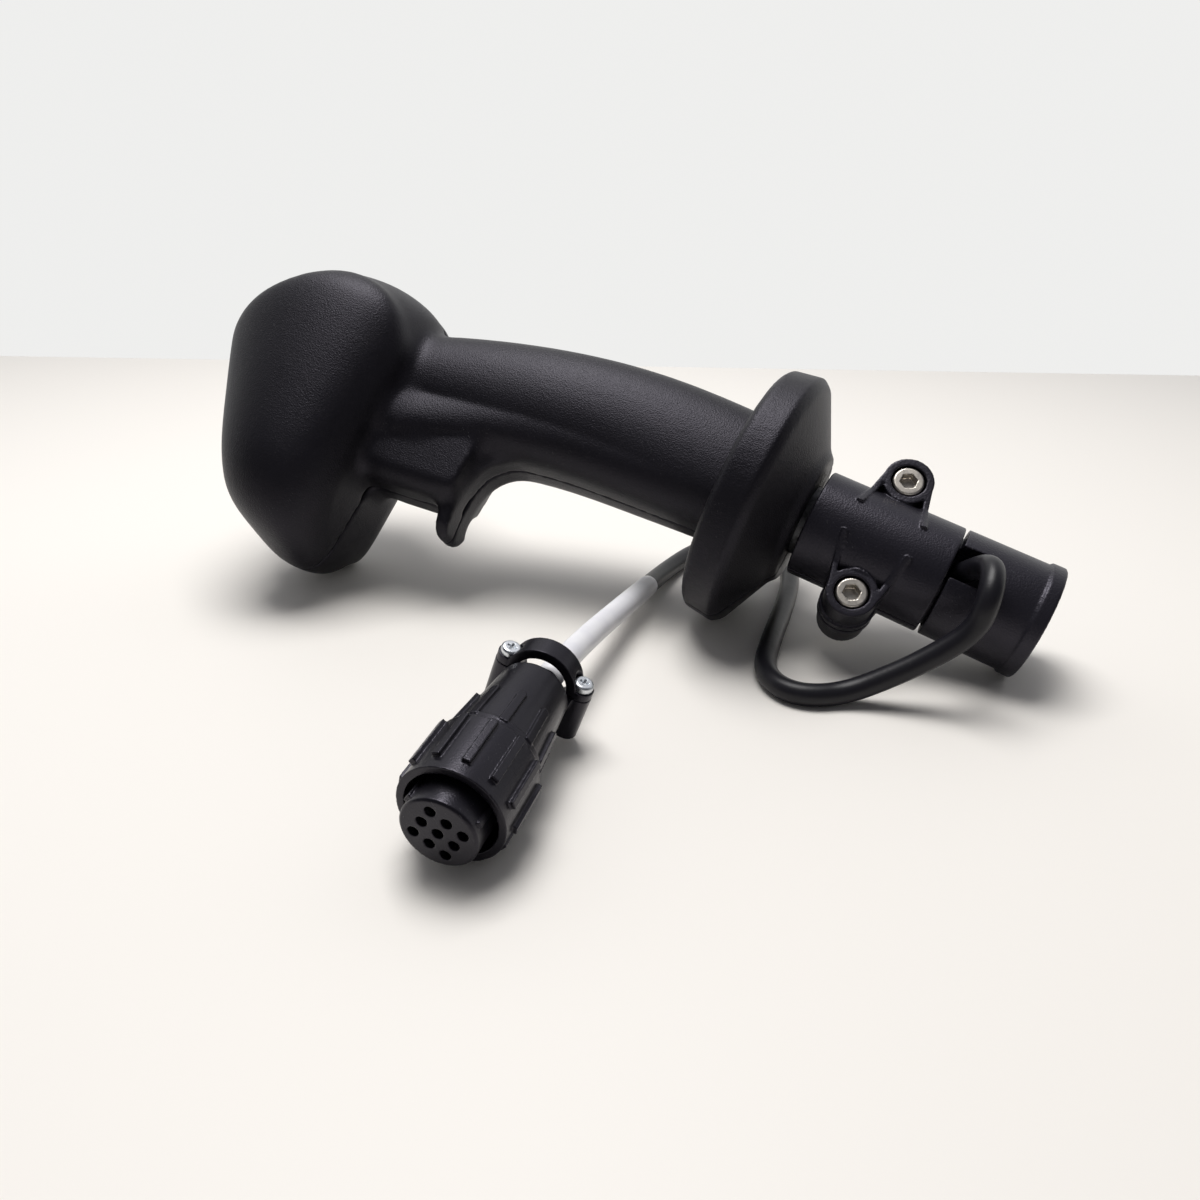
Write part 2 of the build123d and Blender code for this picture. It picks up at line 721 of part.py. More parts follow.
def plug_contacts():
    """Nine socket contacts, seated in the insert behind its face."""
    contacts = []
    length = body_end - contact_sink - 1.0
    for i in (-1, 0, 1):
        for j in (-1, 0, 1):
            socket = Pos(0, 0, (contact_bore_depth - length) / 2) * Cylinder(contact_bore, contact_bore_depth)
            barrel = Cylinder(plug_holes - 0.02, length) - socket
            place = Pos(i * plug_pitch, j * plug_pitch, contact_sink + length / 2)
            contacts.append(Rot(0, 0, plug_twist) * place * barrel)
    return contacts


def coupling_ring():
    """The ring that turns on the plug and locks it to its socket."""
    outer = ring_bore + ring_wall
    middle = ring_start + ring_span / 2
    ring = Pos(0, 0, middle) * Cylinder(outer, ring_span)
    rib_long = ring_span - ring_plain - 0.8
    for k in range(ring_ribs):
        rib = Pos(outer, 0, ring_start + ring_plain + rib_long / 2) * Box(2 * ring_rib, ring_rib_width, rib_long)
        ring = ring + Rot(0, 0, 360 * k / ring_ribs + ring_phase) * rib
    front = Pos(0, 0, ring_start + (ring_span - ring_lip) / 2) * Cylinder(ring_bore, ring_span - ring_lip)
    throat = Pos(0, 0, middle) * Cylinder(plug_nose + fit, ring_span + 2)
    return ring - front - throat


def backshell():
    """The tapered rear shell with its ribs, the flat top and the lower cable trough."""
    profile = [
        (plug_nose + fit, shell_start),
        (shell_radius, shell_start),
        (shell_radius, shell_start + shell_band),
        (shell_radius - shell_step, shell_start + shell_band + 0.2),
        (shell_end_radius, shell_end),
        (shell_end_radius, clamp_end),
        (trough_bore, clamp_end),
        (trough_bore, shell_end - gland_wall),
        (cable_radius + gland_play, shell_end - gland_wall),
        (cable_radius + gland_play, shell_end - 2 * gland_wall),
        (trough_bore, shell_end - 2 * gland_wall),
        (trough_bore, body_end + 2.0),
        (plug_nose + fit, body_end + 2.0),
    ]
    shell = revolve(Plane.XZ * make_face(Polyline(*profile, close=True)), Axis.Z)
    for k in range(shell_ribs):
        rib = Box(2 * shell_rib_height + 0.2, shell_rib_width, shell_rib_length)
        rib = fillet(rib.edges().filter_by(Axis.X).group_by(Axis.Z)[-1], 0.45 * shell_rib_width)
        rib_middle = shell_start + shell_rib_start + shell_rib_length / 2
        rib = Pos(shell_radius - shell_rib_height - 0.2, 0, rib_middle) * Rot(0, -4, 0) * rib
        shell = shell + Rot(0, 0, 360 * k / shell_ribs + 18) * rib
    shell = shell - Pos(0, 0, (shell_start + body_end) / 2) * Cylinder(plug_nose + fit, body_end - shell_start + 4)
    shell = shell - Pos(0, 50 + split_level, shell_end + 50) * Box(100, 100, 100)
    for x in (-clamp_ear, clamp_ear):
        depth = ear_depth + split_level
        ear = Pos(x, split_level - depth / 2, clamp_level) * Rot(90, 0, 0) * Cylinder(ear_size, depth)
        web_x = x - copysign(ear_size / 2, x)
        web = Pos(web_x, split_level - depth / 2, clamp_level) * Box(ear_size, depth, 2 * ear_size)
        shell = shell + ear + web
    shell = shell - Pos(0, 0, clamp_level) * Cylinder(trough_bore, clamp_span + 6 - 0.01)
    for x in (-clamp_ear, clamp_ear):
        shell = shell - Pos(x, 0, clamp_level) * Rot(90, 0, 0) * Cylinder(clamp_screw_radius + fit, 40)
    return shell


def cable_clamp():
    """The arched saddle over the cable, screwed down on the trough's ears."""
    wide = saddle_width
    foot = split_level + fit
    band = Pos(0, foot, clamp_level) * (Cylinder(shell_end_radius + 0.4, wide) - Cylinder(trough_bore, wide + 2))
    arch = band & (Pos(0, 50 + foot, clamp_level) * Box(60, 100, 40))
    for x in (-clamp_ear, clamp_ear):
        ear = Pos(x, foot + saddle_thick / 2, clamp_level) * Rot(90, 0, 0) * Cylinder(ear_size - 0.1, saddle_thick)
        arch = arch + (ear - Pos(0, 0, clamp_level) * Cylinder(trough_bore + 0.2, 20))
    for x in (-clamp_ear, clamp_ear):
        arch = arch - Pos(x, 0, clamp_level) * Rot(90, 0, 0) * Cylinder(clamp_screw_radius + fit, 40)
        head_room = Rot(90, 0, 0) * Cylinder(clamp_head_radius + 0.1, 6)
        arch = arch - Pos(x, foot + saddle_thick + 3, clamp_level) * head_room
    return arch


def clamp_screws():
    """Two pan head screws with cross recesses."""
    seat = split_level + fit + saddle_thick
    screws = []
    for x in (-clamp_ear, clamp_ear):
        head = Pos(x, seat + clamp_head / 2, clamp_level) * Rot(90, 0, 0) * Cylinder(clamp_head_radius, clamp_head)
        head = fillet(head.edges().filter_by(GeomType.CIRCLE).sort_by(Axis.Y)[-1], 0.9)
        deep = 2 * clamp_cross_depth
        cross = Box(clamp_cross, deep, clamp_cross_width) + Box(clamp_cross_width, deep, clamp_cross)
        cross = Pos(x, seat + clamp_head, clamp_level) * cross
        shank = Pos(x, seat - clamp_screw_long / 2, clamp_level) * Rot(90, 0, 0) * Cylinder(
            clamp_screw_radius, clamp_screw_long)
        screws.append(head - cross + shank)
    return screws


def lying(shape):
    """Lay a shape of the upright handle down on its hand rest and the head's chin."""
    along = rest_edge + 0.5 + collar_length + slit + tube_length
    slope = atan((rest_radius - ring_radius) / along)
    roll = radians(lie_roll)
    up = Vector(sin(slope), 0, cos(slope))
    across = Vector(0, 1, 0)
    axis = Vector(-cos(slope), 0, sin(slope))
    side = up * -cos(roll) - across * sin(roll)
    return Plane((0, 0, 0), x_dir=side, z_dir=axis).location * shape


def exit_places():
    """The exit of the cable in the upright handle and the direction that it leaves in."""
    angle = radians(collar_turn)
    outward = Vector(-sin(angle), cos(angle), 0)
    leave = outward * sin(radians(exit_angle)) - Vector(0, 0, 1) * cos(radians(exit_angle))
    return outward * collar_radius + Vector(0, 0, exit_level), leave


def bend_radii(points):
    """The largest radius that each corner's two runs allow."""
    radii = []
    for before, corner, after in zip(points, points[1:], points[2:]):
        arrive = corner - before
        depart = after - corner
        half = radians(arrive.get_angle(depart)) / 2
        radii.append(0.45 * min(arrive.length, depart.length) / tan(half))
    return radii


def tube_along(points, radii, radius):
    """A round cable along straight runs and tangent arcs, with its path."""
    path = FilletPolyline(*points, radius=radii)
    section = Plane(path @ 0, z_dir=path % 0) * Circle(radius)
    return sweep(section, path=path), path


def inner_cable():
    """The lead inside the handle, from the board down the core to the exit."""
    exit_point, leave = exit_places()
    turn_level = exit_level + collar_radius / tan(radians(exit_angle))
    face = face_plane()
    start = face.from_local_coords(Vector(socket_spot, 0, socket_level))
    drop = face.from_local_coords(Vector(socket_spot, 0, socket_level - 14))
    points = [start, drop, Vector(0, 0, neck_top - 34), Vector(0, 0, turn_level), exit_point]
    tube, path = tube_along(points, [14, 30, 12], cable_radius)
    return tube


def plug_plane(height):
    """The plug's own plane on the table: Z towards the cable, Y up before it is rolled."""
    turn = radians(plug_turn)
    rise = radians(plug_rise)
    roll = radians(plug_roll)
    axis = Vector(cos(turn) * cos(rise), sin(turn) * cos(rise), sin(rise))
    up = Vector(-cos(turn) * sin(rise), -sin(turn) * sin(rise), cos(rise))
    across = up.cross(axis) * cos(roll) + up * sin(roll)
    return Plane((plug_place[0], plug_place[1], height), x_dir=across, z_dir=axis)


def lowest(shapes):
    return min(shape.bounding_box().min.Z for shape in shapes)


def whole_object():
    """Every node, in its place on the table, with the origin under the handle's middle."""
    near, far = shell_pair()
    handle = {
        "grip_shell_near": near,
        "grip_shell_far": far,
        "core_tube": core_tube(),
        "base_tube": base_tube(),
        "collar_near": collar_half(1),
        "collar_far": collar_half(-1),
        "collar_screws": Compound(children=collar_bolts()),
        "collar_nuts": Compound(children=collar_nuts()),
        "shell_screws": Compound(children=shell_screws()),
        "inner_cable": inner_cable(),
    }
    face = face_plane().location
    for name, shape in face_parts().items():
        handle[name] = face * shape
    nodes = {name: lying(shape) for name, shape in handle.items()}
    rise = -lowest(nodes.values())
    nodes = {name: Pos(0, 0, rise) * shape for name, shape in nodes.items()}
    corners = [corner for shape in nodes.values() for corner in (shape.bounding_box().min, shape.bounding_box().max)]
    middle_x = (min(corner.X for corner in corners) + max(corner.X for corner in corners)) / 2
    middle_y = (min(corner.Y for corner in corners) + max(corner.Y for corner in corners)) / 2
    shift = Vector(-middle_x, -middle_y, 0)

    plug = {
        "plug_body": plug_body(),
        "plug_contacts": Compound(children=plug_contacts()),
        "coupling_ring": coupling_ring(),
        "backshell": backshell(),
        "cable_clamp": cable_clamp(),
        "clamp_screws": Compound(children=clamp_screws()),
    }
    flat = plug_plane(0).location
    height = -lowest([flat * shape for shape in plug.values()])
    place = plug_plane(height)
    for name, shape in plug.items():
        nodes[name] = place.location * shape

    exit_point, leave = exit_places()
    exit_point = (Pos(0, 0, rise) * lying(Vertex(*exit_point))).center()
    leave = lying(Vertex(*leave)).center()
    cable_end = place.from_local_coords(Vector(0, 0, body_end + 2 * fit))
    bend = place.from_local_coords(Vector(0, 0, clamp_bend))
    points = [exit_point, exit_point + leave * lead_run]
    points += [Vector(*point) for point in lead_points] + [bend, cable_end]
    radii = bend_radii(points)
    nodes["cable"], path = tube_along(points, radii, cable_radius)
    print("handle origin", tuple(round(v, 2) for v in shift + Vector(0, 0, rise)), "plug height", round(height, 2))
    print("cable length", round(path.length, 1), "volume ratio",
          round(nodes["cable"].volume / (path.length * pi * cable_radius ** 2), 4))
    print("radii", [round(radius, 1) for radius in radii])
    print("points", [tuple(round(v, 1) for v in (point + shift)) for point in points])
    nodes["label_sleeve"] = label_sleeve(path, place)
    return {name: Pos(*shift) * shape for name, shape in nodes.items()}


def label_sleeve(path, place):
    """The white sleeve on the straight of the lead behind the plug."""
    straight = Wire(path.edges()[-3:])
    ring = Circle(label_radius) - Circle(cable_radius + 0.02)
    tube = sweep(Plane(straight @ 0, z_dir=straight % 0) * ring, path=straight)
    keep = place.location * (Pos(0, 0, label_start + label_length / 2) * Box(90, 90, label_length))
    return tube & keep


if __name__ == "__main__":
    for name, shape in whole_object().items():
        export_step(shape, f"parts/{name}.step")
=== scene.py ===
import json
import math

import bmesh
import bpy
from mathutils import Matrix, Vector


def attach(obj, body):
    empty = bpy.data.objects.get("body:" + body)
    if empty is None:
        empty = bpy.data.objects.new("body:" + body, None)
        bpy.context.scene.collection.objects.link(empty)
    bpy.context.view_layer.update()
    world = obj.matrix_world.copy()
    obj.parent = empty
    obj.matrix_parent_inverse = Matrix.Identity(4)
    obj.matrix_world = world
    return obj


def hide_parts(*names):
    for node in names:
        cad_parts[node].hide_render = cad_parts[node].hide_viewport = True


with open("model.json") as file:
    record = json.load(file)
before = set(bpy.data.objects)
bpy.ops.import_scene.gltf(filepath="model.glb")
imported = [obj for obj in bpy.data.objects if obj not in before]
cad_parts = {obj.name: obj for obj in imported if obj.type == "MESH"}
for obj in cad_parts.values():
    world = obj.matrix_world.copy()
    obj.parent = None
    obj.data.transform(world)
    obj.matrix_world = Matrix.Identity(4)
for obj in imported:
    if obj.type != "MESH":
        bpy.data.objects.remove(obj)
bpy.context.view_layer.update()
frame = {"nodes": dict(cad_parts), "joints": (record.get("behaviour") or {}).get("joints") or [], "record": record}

# Moulded grip: two hollow half shells of black grained nylon, screwed together on one
# parting plane. Palm grip, hand stop, neck, head and hand rest are a single moulding, so
# each shell is shown as one skin whose forms run into one another with soft blends.
MM = 0.001
nodes = frame["nodes"]
record = frame["record"]
body_of = {name: body for body, members in record["behaviour"]["bodies"].items() for name in members}
joints = {joint["name"]: joint for joint in frame["joints"]}
mounts = {mount["name"]: mount for mount in record["mounts"]}

# The handle's own frame: Z runs up the lever's axis from the top of the clamp collar, X is
# the operator's side and Y is the side of the screw heads.
lever = mounts["lever_bore"]
lever_depth = 68.1 * MM
handle_z = -Vector(lever["axis"]).normalized()
handle_y = Vector(joints["thumb_wheel_turn"]["axis"]).normalized()
handle_x = handle_y.cross(handle_z).normalized()
handle_origin = Vector(lever["pos_m"]) + handle_z * lever_depth
face_normal = -Vector(joints["push_button_1_travel"]["axis"]).normalized()
face_level = max(vertex.co.dot(face_normal) for vertex in nodes["face_plate"].data.vertices)


def in_handle(point):
    """A point's place in the handle's own frame, in millimetres."""
    offset = (point - handle_origin) / MM
    return offset.dot(handle_x), offset.dot(handle_y), offset.dot(handle_z)


class Value:
    """A shader node's output that can be used in sums."""

    def __init__(self, nodes_of, socket):
        self.nodes_of = nodes_of
        self.socket = socket

    def __add__(self, other):
        return self.nodes_of.math("ADD", self, other)

    def __sub__(self, other):
        return self.nodes_of.math("SUBTRACT", self, other)

    def __rsub__(self, other):
        return self.nodes_of.math("SUBTRACT", other, self)

    def __mul__(self, other):
        return self.nodes_of.math("MULTIPLY", self, other)

    __radd__ = __add__
    __rmul__ = __mul__

    def above(self, low, high):
        """Zero below low, one above high, and smooth between."""
        span = {"Value": self, "From Min": low, "From Max": high}
        return self.nodes_of.node("ShaderNodeMapRange", 0, span, interpolation_type="SMOOTHSTEP")


class NodeTree:
    """The nodes of one material or world."""

    def __init__(self, owner):
        owner.use_nodes = True
        self.tree = owner.node_tree

    def put(self, target, value):
        """Link or set one input."""
        if isinstance(value, Value):
            self.tree.links.new(value.socket, target)
        else:
            target.default_value = value

    def node(self, kind, output=0, inputs=None, **settings):
        """A new node with its settings, then its inputs; gives one of its outputs."""
        made = self.tree.nodes.new(kind)
        for key, value in settings.items():
            setattr(made, key, value)
        for key, value in (inputs or {}).items():
            self.put(made.inputs[key], value)
        return Value(self, made.outputs[output])

    def math(self, operation, a, b):
        return self.node("ShaderNodeMath", 0, {0: a, 1: b}, operation=operation)

    def mix(self, factor, first, second):
        """The first colour where the factor is zero and the second where it is one."""
        return self.node("ShaderNodeMix", 2, {0: factor, 6: first, 7: second}, data_type="RGBA")


class Finish(NodeTree):
    """A material with one Principled surface."""

    def __init__(self, name):
        self.material = bpy.data.materials.new(name)
        super().__init__(self.material)
        self.surface = self.tree.nodes["Principled BSDF"]

    def set(self, name, value):
        self.put(self.surface.inputs[name], value)

    def bump(self, height, distance):
        self.set("Normal", self.node("ShaderNodeBump", 0, {"Height": height, "Distance": distance}))

    def place(self):
        return self.node("ShaderNodeTexCoord", "Object")

    def noise(self, scale, detail=2.0, roughness=0.5, where=None):
        inputs = {"Vector": where or self.place(), "Scale": scale, "Detail": detail, "Roughness": roughness}
        return self.node("ShaderNodeTexNoise", "Fac", inputs)

    def cells(self, scale):
        """Distance to the nearest of many scattered points."""
        return self.node("ShaderNodeTexVoronoi", "Distance", {"Vector": self.place(), "Scale": scale})

    def stretched(self, direction, squeeze):
        """Object coordinates scaled along a direction, for scratches and drawn metal."""
        turn = tuple(direction.normalized().to_track_quat("X", "Z").inverted().to_euler())
        turned = self.node("ShaderNodeMapping", 0, {"Vector": self.place(), "Rotation": turn})
        return self.node("ShaderNodeMapping", 0, {"Vector": turned, "Scale": (squeeze, 1.0, 1.0)})


def black(level):
    """Carbon black pigment, which leans a little to violet."""
    return (level * 1.05, level, level * 1.4, 1.0)


def grey(level):
    return (level, level, level, 1.0)


def moulded(name, level, roughness, grain, depth, scuffed=0.0, gloss=0.26):
    """Black moulded plastic: spark-eroded grain, faint handling marks and rubbed edges."""
    finish = Finish(name)
    patches = finish.noise(45, detail=3)
    fine = finish.cells(grain)
    coarse = finish.noise(grain * 0.6, detail=3, roughness=0.65)
    edges = finish.node("ShaderNodeAttribute", "Fac", attribute_name="edge").above(0.25, 0.9)
    rubbed = (finish.noise(160, detail=4, roughness=0.7) * edges).above(0.28, 0.7)
    dusty = finish.noise(70).above(0.52, 0.72)
    dust = (0.16 - finish.cells(900)).above(0.0, 0.1) * dusty
    lengthways = finish.stretched(handle_x + handle_z * 0.7, 9.0)
    handled = finish.noise(38).above(0.5, 0.66)
    scratches = finish.noise(650, detail=1, roughness=0.4, where=lengthways).above(0.735, 0.76) * handled
    marks = (rubbed * 0.5 + scratches * 0.55 + dust * 0.35) * scuffed
    pigment = finish.mix(patches.above(0.3, 0.75), black(level * 0.85), black(level * 1.15))
    finish.set("Base Color", finish.mix(marks, pigment, (0.2156, 0.22, 0.2244, 1.0)))
    finish.set("Roughness", patches * 0.10 + (roughness - 0.05) + marks * 0.2)
    finish.set("Specular IOR Level", gloss)
    finish.set("Specular Tint", (0.88, 0.84, 1.0, 1.0))
    finish.bump(fine * 0.6 + coarse * 0.8 - scratches * 0.5, depth)
    return finish.material


def ease(low, high, value):
    """Zero below low, one above high, and smooth between."""
    share = min(max((value - low) / (high - low), 0.0), 1.0)
    return share * share * (3 - 2 * share)


# The blends lie between the hand stop and a slanting line over the neck. The head's back
# is filled out from the parting plane to its corners, less towards the base and the face,
# and its chin is blunted on the near side. These sizes are in millimetres.
blend_low = 84.0
blend_high = 172.0
blend_slope = 0.35
blend_rings = 9
corner_pull = -0.35
head_half = 36.0
base_fade = (146.0, 158.0)
face_fade = (4.0, 48.0)
back_middle = -15.5
back_corner = 3.0
back_swell = 7.2
back_reach = 16.0
corner_fade = (20.0, 30.0)
corner_reach = (5.0, 15.0)
corner_passes = 40
chin_fade = (80.0, 100.5)
chin_blunt = 5.5
chin_middle = 7.0
chin_half = 26.0


def blends(point):
    """True where the grip's forms flow into one another, round the neck and hand stop."""
    x, y, z = in_handle(point)
    return blend_low < z < blend_high - blend_slope * x


def modelled(point):
    """Where a point of the head ends up, and how much it lies on the back's corner."""
    x, y, z = in_handle(point)
    depth = (face_level - point.dot(face_normal)) / MM
    free = ease(*base_fade, z) * ease(*face_fade, depth)
    across = abs(y) / head_half
    behind = x - (back_middle + (back_corner - back_middle) * min(across, 1.0))
    swell = back_swell * min(across, 1.0) * (1 - 0.8 * ease(0.8, 1.05, across))
    swell *= (1 - ease(0, back_reach, behind)) * free
    blunt = chin_blunt * ease(*chin_fade, x) * max(0.0, 1 - ((y - chin_middle) / chin_half) ** 2)
    on_corner = free * ease(*corner_fade, abs(y)) * (1 - ease(*corner_reach, abs(x - back_corner)))
    return point - handle_x * (swell + blunt) * MM, on_corner


def relax(piece, passes, group=""):
    """Smooth a mesh, all over or by a vertex group's weights."""
    smooth = piece.modifiers.new("smooth", "SMOOTH")
    smooth.factor = 0.5
    smooth.iterations = passes
    smooth.vertex_group = group
    bpy.ops.object.modifier_apply(modifier=smooth.name)
    piece.vertex_groups.clear()


def weighted(piece, weights):
    """A vertex group with a weight for each point."""
    group = piece.vertex_groups.new(name="weights")
    for number, weight in enumerate(weights):
        if weight:
            group.add([number], weight, "REPLACE")
    return group.name


def inner_corners(mesh, pull):
    """Weights of one on a mesh's inner corners, fading out over some rings of points."""
    weights = [float(drawn < corner_pull and blends(vertex.co)) for drawn, vertex in zip(pull, mesh.vertices)]
    edges = [tuple(edge.vertices) for edge in mesh.edges]
    both_ways = edges + [(b, a) for a, b in edges]
    for ring in range(1, blend_rings + 1):
        level = 1.0 - ring / (blend_rings + 1)
        for v in [v for v, other in both_ways if weights[v] < level and weights[other] > level]:
            weights[v] = level
    return weights


def softened(node, material, voxel, passes, blend_passes=0, head=False):
    """A node's form as one even skin with moulded edges, in place of the node.

    The attribute "edge" keeps how far smoothing pulled each point in, in half voxels,
    which marks the edges that rub. The voxel is in millimetres.
    """
    mesh = nodes[node].data.copy()
    piece = bpy.data.objects.new(node + "_skin", mesh)
    bpy.context.scene.collection.objects.link(piece)
    shape = bmesh.new()
    shape.from_mesh(mesh)
    bmesh.ops.remove_doubles(shape, verts=shape.verts, dist=0.002 * MM)
    shape.to_mesh(mesh)
    shape.free()
    bpy.ops.object.select_all(action="DESELECT")
    piece.select_set(True)
    bpy.context.view_layer.objects.active = piece
    mesh.remesh_voxel_size = voxel * MM
    mesh.remesh_voxel_adaptivity = 0.0
    bpy.ops.object.voxel_remesh()
    before = [vertex.co.copy() for vertex in piece.data.vertices]
    relax(piece, passes)
    half_voxel = 0.5 * voxel * MM
    pull = [(old - now.co).dot(now.normal) / half_voxel for old, now in zip(before, piece.data.vertices)]
    if blend_passes:
        relax(piece, blend_passes, weighted(piece, inner_corners(piece.data, pull)))
    if head:
        weights = []
        for vertex in piece.data.vertices:
            vertex.co, on_corner = modelled(vertex.co)
            weights.append(on_corner)
        relax(piece, corner_passes, weighted(piece, weights))
    mesh = piece.data
    edge = mesh.attributes.new("edge", "FLOAT", "POINT")
    edge.data.foreach_set("value", pull)
    mesh.polygons.foreach_set("use_smooth", [True] * len(mesh.polygons))
    mesh.materials.clear()
    mesh.materials.append(material)
    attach(piece, body_of[node])
    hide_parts(node)
    return piece


def dress(node, material):
    """A node that keeps its machined form gets its material."""
    mesh = nodes[node].data
    mesh.materials.clear()
    mesh.materials.append(material)


grip_plastic = moulded("grip_plastic", 0.004, 0.43, grain=2300, depth=0.13 * MM, scuffed=0.8, gloss=0.30)
for shell in ("grip_shell_near", "grip_shell_far"):
    softened(shell, grip_plastic, voxel=1.0, passes=5, blend_passes=90, head=True)

# Core tube and stub: a drawn alloy tube carries the shells, and the black glass-filled
# stub below it takes the machine's lever and lets the lead out by its slot. The collar
# clamps both.
clamp_plastic = moulded("clamp_plastic", 0.010, 0.38, grain=1900, depth=0.08 * MM, scuffed=0.9, gloss=0.42)
softened("base_tube", clamp_plastic, voxel=0.5, passes=3)


def metal(name, colour, roughness, direction, tarnish):
    """Plated steel or drawn alloy with fine lines along a direction and dull patches."""
    finish = Finish(name)
    lines = finish.noise(1500, where=finish.stretched(direction, 0.06))
    patches = finish.noise(420, detail=4, roughness=0.6)
    dull = patches.above(0.45, 0.7) * tarnish
    dark = tuple(0.45 * part for part in colour)
    finish.set("Base Color", finish.mix(dull, (*colour, 1.0), (*dark, 1.0)))
    finish.set("Metallic", 1.0)
    finish.set("Roughness", lines * 0.16 + roughness + dull * 0.25)
    finish.bump(lines * 0.5 + patches * 0.5, 0.02 * MM)
    return finish.material


dress("core_tube", metal("tube_alloy", (0.16, 0.16, 0.17), 0.42, handle_z, tarnish=0.6))

# Clamp collar: two glass-filled half rings with ears, drawn together by two plated socket
# screws and their nuts. The same steel is used for the screws in the shells.
for half in ("collar_near", "collar_far"):
    softened(half, clamp_plastic, voxel=0.45, passes=3)
screw_steel = metal("screw_steel", (0.66, 0.62, 0.56), 0.24, handle_y, tarnish=0.7)
softened("collar_screws", screw_steel, voxel=0.22, passes=2)
dress("collar_nuts", screw_steel)
dress("shell_screws", screw_steel)

# Control panel: a satin plate that closes the head on a rubber seal, held by small screws.
# Its near end follows the shells' blunted chin.
panel_plastic = moulded("panel_plastic", 0.009, 0.42, grain=3200, depth=0.04 * MM, scuffed=0.3)
softened("face_plate", panel_plastic, voxel=0.5, passes=2, head=True)
dress("face_seal", moulded("seal_rubber", 0.010, 0.7, grain=1800, depth=0.05 * MM))
dress("face_screws", screw_steel)

# Push buttons: four satin caps in round bezels, each on its own sprung switch, held from
# behind by a nut.
button_cap = moulded("button_cap", 0.014, 0.36, grain=3800, depth=0.02 * MM, scuffed=0.2, gloss=0.4)
softened("button_housings", panel_plastic, voxel=0.3, passes=2)
for number in range(1, 5):
    softened(f"push_button_{number}", button_cap, voxel=0.3, passes=3)
dress("button_nuts", clamp_plastic)

# Thumb wheel: a ridged wheel on a steel axle between the cheeks of a bracket, sprung to
# its middle.
wheel_plastic = moulded("wheel_plastic", 0.014, 0.45, grain=3000, depth=0.05 * MM, scuffed=0.2, gloss=0.4)
softened("thumb_wheel", wheel_plastic, voxel=0.3, passes=2)
dress("wheel_axle", screw_steel)
dress("wheel_bracket", panel_plastic)

# Circuit board: green glass laminate on posts behind the panel, which takes the inner end
# of the lead.
laminate = Finish("board")
weave = laminate.noise(1200)
laminate.set("Base Color", laminate.mix(weave, (0.01, 0.09, 0.04, 1), (0.02, 0.14, 0.06, 1)))
laminate.set("Roughness", weave * 0.1 + 0.35)
dress("circuit_board", laminate.material)

# Plug: a round nine-way cable plug of glossy black nylon. The insert with its contacts
# sits in a turning coupling ring, behind it comes the ribbed backshell, and a saddle clamp
# with two zinc plated cross-head screws grips the lead.
plug_axis = Vector(joints["coupling_ring_turn"]["axis"]).normalized()
plug_face = Vector(mounts["plug_face"]["pos_m"])
plug_plastic = moulded("plug_plastic", 0.0055, 0.30, grain=2400, depth=0.03 * MM, scuffed=0.5, gloss=0.36)
plug_pieces = [
    softened("plug_body", plug_plastic, voxel=0.28, passes=2),
    softened("coupling_ring", plug_plastic, voxel=0.3, passes=2),
    softened("backshell", plug_plastic, voxel=0.32, passes=2),
    softened("cable_clamp", plug_plastic, voxel=0.25, passes=2),
]
screw_zinc = metal("screw_zinc", (0.70, 0.73, 0.76), 0.2, plug_axis, tarnish=0.35)
plug_pieces.append(softened("clamp_screws", screw_zinc, voxel=0.14, passes=2))
dress("plug_contacts", metal("contact_metal", (0.72, 0.56, 0.30), 0.25, plug_axis, tarnish=0.3))

# Lead: a limp round cable with a satin black jacket. It leaves the stub by the slot, drops
# to the table, folds back under the hand rest, passes behind it and comes out again to the
# plug. Its points are counted from under the handle's origin.
cable_radius = 3.5 * MM
exit_angle = math.radians(70)
collar_turn = math.radians(6)
collar_radius = 18.2 * MM
exit_level = -52.0 * MM
lead_run = 4.8 * MM
lead_points = [
    (0.0586, -0.0223, 0.0420),
    (0.0591, -0.0306, 0.0369),
    (0.0574, -0.0315, 0.0266),
    (0.0489, -0.0347, 0.0183),
    (0.0390, -0.0388, 0.0110),
    (0.0262, -0.0443, 0.00355),
    (0.0160, -0.0515, 0.00355),
    (0.0070, -0.0506, 0.00355),
    (-0.0005, -0.0420, 0.00355),
    (-0.0036, -0.0231, 0.00355),
    (-0.0071, 0.0077, 0.00355),
    (-0.0114, 0.0312, 0.00355),
    (-0.0190, 0.0488, 0.00355),
    (-0.0327, 0.0570, 0.00355),
    (-0.0470, 0.0525, 0.00355),
    (-0.0542, 0.0361, 0.00355),
    (-0.0566, 0.0120, 0.0039),
]
last_bend_share = 0.24
clamp_bend = 64.5 * MM
body_end = 35.5 * MM

jacket = Finish("cable_jacket")
lint = (0.14 - jacket.cells(700)).above(0.0, 0.09) * jacket.noise(55).above(0.5, 0.7)
jacket.set("Base Color", jacket.mix(lint * 0.3, black(0.0085), grey(0.2)))
jacket.set("Roughness", jacket.noise(60, detail=3) * 0.14 + 0.32)
jacket.set("Specular IOR Level", 0.3)
jacket.bump(jacket.noise(900, detail=3) * 0.6 + jacket.noise(160), 0.06 * MM)
dress("inner_cable", jacket.material)

outward = handle_x * -math.sin(collar_turn) + handle_y * math.cos(collar_turn)
leave = outward * math.sin(exit_angle) - handle_z * math.cos(exit_angle)
exit_point = handle_origin + outward * collar_radius + handle_z * exit_level
table_origin = Vector((handle_origin.x, handle_origin.y, 0.0))
bend = plug_face + plug_axis * clamp_bend
route = [exit_point, exit_point + leave * lead_run]
route += [table_origin + Vector(point) for point in lead_points]
route += [route[-1].lerp(bend, last_bend_share), bend, plug_face + plug_axis * body_end]

